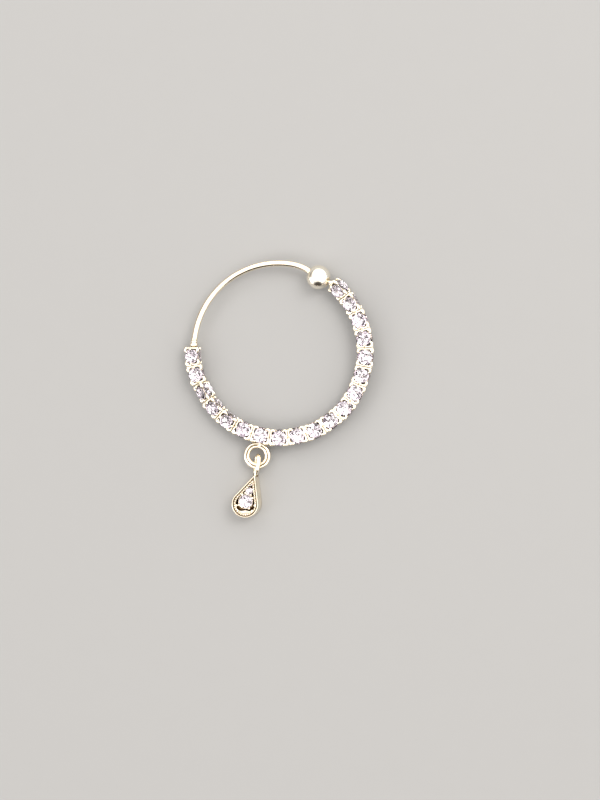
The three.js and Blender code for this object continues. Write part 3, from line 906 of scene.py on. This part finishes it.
def make_beads():
    """Setting and stones of every bead, and the ring on its bead."""
    for i, (angle, tip_out) in enumerate(zip(ANGLES, TIP_OUT)):
        node = f"bead_{i + 1:02d}" + ("_drop_ring" if i == RING_BEAD else "")
        rows = ROWS[:2] if i == RING_BEAD else ROWS
        make_piece(node + "_setting", bead_setting(rows), [CLAW_GOLD], [node],
                   lambda points: bent_on(points, angle, tip_out))
        make_piece(node + "_stones", bead_stones(rows), [CROWN, PAVILION], [node],
                   lambda points: set_on(points, angle, tip_out))
        if i == RING_BEAD:
            make_piece("drop_ring_smooth", drop_ring(), [DROP_GOLD], [node],
                       lambda points: set_on(points, angle, 0))


# Drop


def drop_outline(inset):
    """Ring of points round the drop, `inset` inside its edge: arc of radius R - inset about the round
    end's middle, and straight sides to a small arc of radius max(r - inset, smallest), whose sides meet
    at tip - inset / sin(side)."""
    side = math.asin(DROP_RADIUS / DROP_TIP)
    small = max(TIP_ROUND - inset, SMALLEST_ROUND)
    far = DROP_TIP - inset / math.sin(side) - small / math.sin(side)
    big = DROP_RADIUS - inset
    a = np.linspace(math.pi - side, 2 * math.pi + side, ROUND_END_POINTS)
    arc = np.stack([big * np.cos(a), big * np.sin(a)], -1)
    a = np.linspace(side, math.pi - side, TIP_POINTS)
    tip = np.stack([small * np.cos(a), far + small * np.sin(a)], -1)
    t = np.linspace(0, 1, SIDE_POINTS + 2)[1:-1, None]
    right = arc[-1] * (1 - t) + tip[0] * t
    left = tip[-1] * (1 - t) + arc[0] * t
    return np.concatenate([arc, right, tip, left])


def shelf_edge():
    """Inner edge of the shelf: w times the way from its narrowest to its widest, where w is max(cos a,
    0)^5 and a is the angle from straight down in the picture."""
    near, far = drop_outline(SHELF_INSET), drop_outline(SHELF_WIDEST)
    lowest = (0, -1) @ DROP_FRAME[:2, :2]
    w = np.maximum(unit(far) @ lowest, 0) ** 5
    return near + (far - near) * w[:, None]


def drop_body():
    """Back plate, flared wall, thin rim, groove, milgrain ledge, sloping shelf, inner wall and floor as
    one skin of rings. Its lift is 1 outside, low in the groove, and 0 at the foot of the inner wall and on
    the floor, where the drop gold lays on its painted shade."""
    top = DROP_HEIGHT
    section = softened([
        # inset, height, lift
        (0.5, 0, 1),
        (-DROP_FLARE, 0, 1),
        (-DROP_FLARE * 0.6, 0.8, 1),
        (-0.01, top - 0.16, 1),
        (0.03, top - 0.02, 1),
        (0.1, top - 0.01, 1),
        (0.115, top - 0.08, 0.2),
        (0.13, top - 0.2, 0),
        (0.19, top - 0.2, 0),
        (0.22, top - 0.14, 0.2),
        (0.36, top - 0.14, 0.4),
    ], 0.03, 3)
    inner = (
        # share of the shelf's edge, height, lift
        (1, top - 0.2, 0.65),
        (0.98, top - 0.25, 0.25),
        (0.96, RECESS_HEIGHT, 0),
        (0.7, RECESS_HEIGHT, 0),
        (0.4, RECESS_HEIGHT, 0),
        (0.15, RECESS_HEIGHT, 0),
    )
    edge = shelf_edge()
    middle = edge.mean(0)
    around = len(edge)
    rings = [np.column_stack([drop_outline(inset), np.full(around, z)]) for inset, z, _ in section]
    rings += [
        np.column_stack([middle + (edge - middle) * share, np.full(around, z)]) for share, z, _ in inner
    ]
    start = rings[0]
    back = [start.mean(0) + (start - start.mean(0)) * share for share in (0.15, 0.4, 0.7)]
    lift = np.concatenate([np.ones(len(back)), section[:, 2], [row[2] for row in inner]])
    return {**shell(np.stack(back + rings)), "lift": np.concatenate([np.repeat(lift, around), [1, 0]])}


def seat(along, across, radius, girdle):
    """Round seat under a stone: an upright tube with a bevelled mouth."""
    root = RECESS_HEIGHT - 0.05
    top = girdle - 0.02
    profile = softened([
        # height, radius
        (root, 0.2 * radius),
        (root, 1.12 * radius),
        (top - 0.1, 1.1 * radius),
        (top + 0.03, 1.07 * radius),
        (top + 0.02, 1.015 * radius),
        (top - 0.1, 0.85 * radius),
        (top - 0.3, 0.2 * radius),
    ], 0.03, 3)
    return moved(turned_about(profile, 48, "z"), shift=(across, along, 0))


def bead_prong(along, across, z, radius):
    """Round bead of metal on a short stem."""
    s = np.array([RECESS_HEIGHT - 0.05, z - 0.3 * radius])
    stem = np.stack([s, np.full(2, radius * 0.95)], -1)
    q = np.linspace(0, math.pi / 2, 7)
    dome = np.stack([z + 0.75 * radius * np.sin(q), radius * np.cos(q) + 1e-3], -1)
    return moved(turned_about(np.concatenate([stem, dome]), 16, "z"), shift=(across, along, 0))


def milgrain():
    """Row of tiny beads along the inside of the rim, evenly spaced round the outline."""
    ring = drop_outline(MILGRAIN_INSET)
    ring = np.concatenate([ring, ring[:1]])
    s = np.concatenate([[0], np.cumsum(np.linalg.norm(np.diff(ring, axis=0), axis=1))])
    count = int(s[-1] / MILGRAIN_PITCH)
    at = np.arange(count) * s[-1] / count
    x, y = np.interp(at, s, ring[:, 0]), np.interp(at, s, ring[:, 1])
    z = DROP_HEIGHT - MILGRAIN_SINK
    return [ball(MILGRAIN_RADIUS, (px, py, z), 8, 5) for px, py in zip(x, y)]


def bail():
    """Loop of strip from the drop's tip round the ring's wire: two feet, two shoulders, a half circle."""
    foot = DROP_FRAME[:2, :2] @ (0, DROP_TIP - 0.2) + DROP_CENTRE
    forwards = BAIL_TOP - foot
    length = np.linalg.norm(forwards)
    forwards = forwards / length
    lean = math.radians(BAIL_LEAN)
    ahead = np.array([*forwards, 0])
    sideways = np.array([forwards[1] * math.cos(lean), -forwards[0] * math.cos(lean), math.sin(lean)])
    w = BAIL_HALF_WIDTH
    bend = length - w - BAIL_WIRE_RADIUS
    leg = [*BAIL_FEET, (BAIL_SHOULDER, w), (bend, w)]
    out = softened([(x, -y) for x, y in leg], 0.25, 6)[:-1]
    a = np.linspace(math.pi, 0, 25)
    arch = np.stack([bend + w * np.sin(a), w * np.cos(a)], -1)
    home = softened(leg[::-1], 0.25, 6)[1:]
    flat = np.concatenate([out, arch, home])
    path = np.array([*foot, DROP_HEIGHT / 2]) + flat[:, :1] * ahead + flat[:, 1:] * sideways
    squash = BAIL_WIRE_RADIUS / BAIL_STRIP_HALF
    return bar(path, BAIL_STRIP_HALF, np.cross(ahead, sideways), 20, squash)


def make_drop():
    """Setting, bail and stones of the drop."""
    parts = [drop_body(), *milgrain()]
    parts.append(ball(NECK_RADIUS, (0, DROP_TIP - NECK_BELOW_TIP, DROP_HEIGHT / 2), 24, 14))
    for _, along, across, radius, girdle in DROP_STONES:
        parts.append(seat(along, across, radius, girdle))
        size = 0.06 + 0.1 * radius
        reach = radius + 0.7 * size
        for a in np.radians([45, 135, 225, 315]):
            place = along + reach * math.sin(a), across + reach * math.cos(a)
            parts.append(bead_prong(*place, girdle + 0.05, size))
    # Painted shade on the milgrain, neck, seats and prongs, growing towards the recess floor
    for part in parts[1:]:
        part["lift"] = smooth((part["points"][:, 2] - RECESS_HEIGHT - 0.1) / 0.42)
    size = SHELF_BEAD_RADIUS
    parts += [bead_prong(along, across, DROP_HEIGHT - size, size) for along, across in SHELF_BEADS]
    make_piece("drop_setting_smooth", parts, [DROP_GOLD], ["drop_setting"], on_drop)
    make_piece("drop_bail_smooth", [bail()], [GOLD], ["drop_setting"],
               lambda points: points + SHIFT)
    for node, along, across, radius, girdle in DROP_STONES:
        stone = cut_stone(radius, DROP_PAVILION, rng.uniform(0, 45))
        stone = moved(stone, shift=(across, along, girdle))
        make_piece(node + "_cut", [stone], [CROWN, PAVILION], [node], on_drop)


# Studio


def paper_material():
    """Matte surface with a breath of grain in its tone."""
    material, tree, shader = new_material("pale_paper")
    place = add(tree, "ShaderNodeTexCoord").outputs["Object"]
    shaded = (*(c * 0.985 for c in PAPER), 1)
    tone = blended(tree, noise(tree, place, 400), shaded, (*PAPER, 1))
    tree.links.new(tone, shader.inputs["Base Color"])
    shader.inputs["Roughness"].default_value = 0.9
    return material


def make_floor():
    """Plain pale floor, a flat disc a hair below the part."""
    thickness, reach, below = 0.002, 900, 0.01
    disc = turned_about([(-thickness, reach), (0, reach)], 64, "z")
    mesh = bpy.data.meshes.new("pale_floor")
    points, faces, _, _, _ = gather([disc])
    mesh.from_pydata((points * MM).tolist(), [], faces)
    mesh.materials.append(paper_material())
    floor = bpy.data.objects.new("pale_floor", mesh)
    floor.location.z = -below * MM
    bpy.context.scene.collection.objects.link(floor)


def soft_light(name, azimuth, elevation, distance, size, power, colour):
    """Rectangular lamp aimed at the origin."""
    lamp = bpy.data.lights.new(name, "AREA")
    lamp.shape = "RECTANGLE"
    lamp.size, lamp.size_y = size
    lamp.energy = power
    lamp.color = colour
    holder = bpy.data.objects.new(name, lamp)
    a, e = math.radians(azimuth), math.radians(elevation)
    place = Vector((math.sin(a) * math.cos(e), math.cos(a) * math.cos(e), math.sin(e))) * distance
    holder.location = place
    holder.rotation_euler = place.to_track_quat("Z", "Y").to_euler()
    bpy.context.scene.collection.objects.link(holder)


def sky_mask(tree, region):
    """Soft mask of one part of the sky: 0 where the cosine from its direction is `begins`, 1 where it is
    `full`."""
    direction, begins, full = region
    sky = add(tree, "ShaderNodeTexCoord")
    cosine = add(tree, "ShaderNodeVectorMath", operation="DOT_PRODUCT")
    cosine.inputs[1].default_value = Vector(direction).normalized()
    tree.links.new(sky.outputs["Generated"], cosine.inputs[0])
    return ramp(tree, cosine.outputs["Value"], begins, full, "SMOOTHSTEP")


def make_tent():
    """White light tent that leans to the upper right and is brighter there, with a dim stretch all round
    above the floor, a bright patch low on the left, a dark gap low on the near side and the opening
    that the view is taken through."""
    world = bpy.data.worlds.new("light_tent")
    world.use_nodes = True
    tree = world.node_tree
    colour = blended(tree, sky_mask(tree, TENT_SIDE), SHADED_TENT, BRIGHT_TENT)
    colour = blended(tree, sky_mask(tree, TENT_TOP), DIM_ROOM, colour)
    colour = blended(tree, sky_mask(tree, LEFT_SIDE), colour, BRIGHT_TENT)
    colour = blended(tree, sky_mask(tree, NEAR_SIDE), colour, DARK_NEAR_SIDE)
    colour = blended(tree, sky_mask(tree, TENT_OPENING), colour, SHADED_TENT)
    background = tree.nodes["Background"]
    tree.links.new(colour, background.inputs["Color"])
    background.inputs["Strength"].default_value = TENT_STRENGTH
    bpy.context.scene.world = world


def make_camera():
    """Camera above the floor, a little to the right and towards the top, framed as the picture is."""
    data = bpy.data.cameras.new("view")
    data.sensor_fit = "AUTO"
    data.sensor_width = SENSOR
    data.lens = SENSOR * VIEW_DISTANCE / PICTURE_HEIGHT
    data.clip_start, data.clip_end = 0.01, 5
    camera = bpy.data.objects.new("view", data)
    back = Vector((math.tan(math.radians(VIEW_RIGHT)), math.tan(math.radians(VIEW_UP)), 1)).normalized()
    right = Vector((0, 1, 0)).cross(back).normalized()
    up = back.cross(right)
    target = Vector(HOOP_MIDDLE) * MM + Vector((*PICTURE_MIDDLE, 0)) * MM
    axes = Matrix((right, up, back)).transposed().to_4x4()
    camera.matrix_world = Matrix.Translation(target + back * VIEW_DISTANCE) @ axes
    bpy.context.scene.collection.objects.link(camera)
    bpy.context.scene.camera = camera


make_camera()
make_wire()
make_ball()
make_collars()
make_beads()
make_drop()
make_floor()
for lamp in LAMPS:
    soft_light(*lamp)
make_tent()

bpy.context.scene.view_settings.view_transform = "Standard"
bpy.context.scene.view_settings.exposure = 0.0
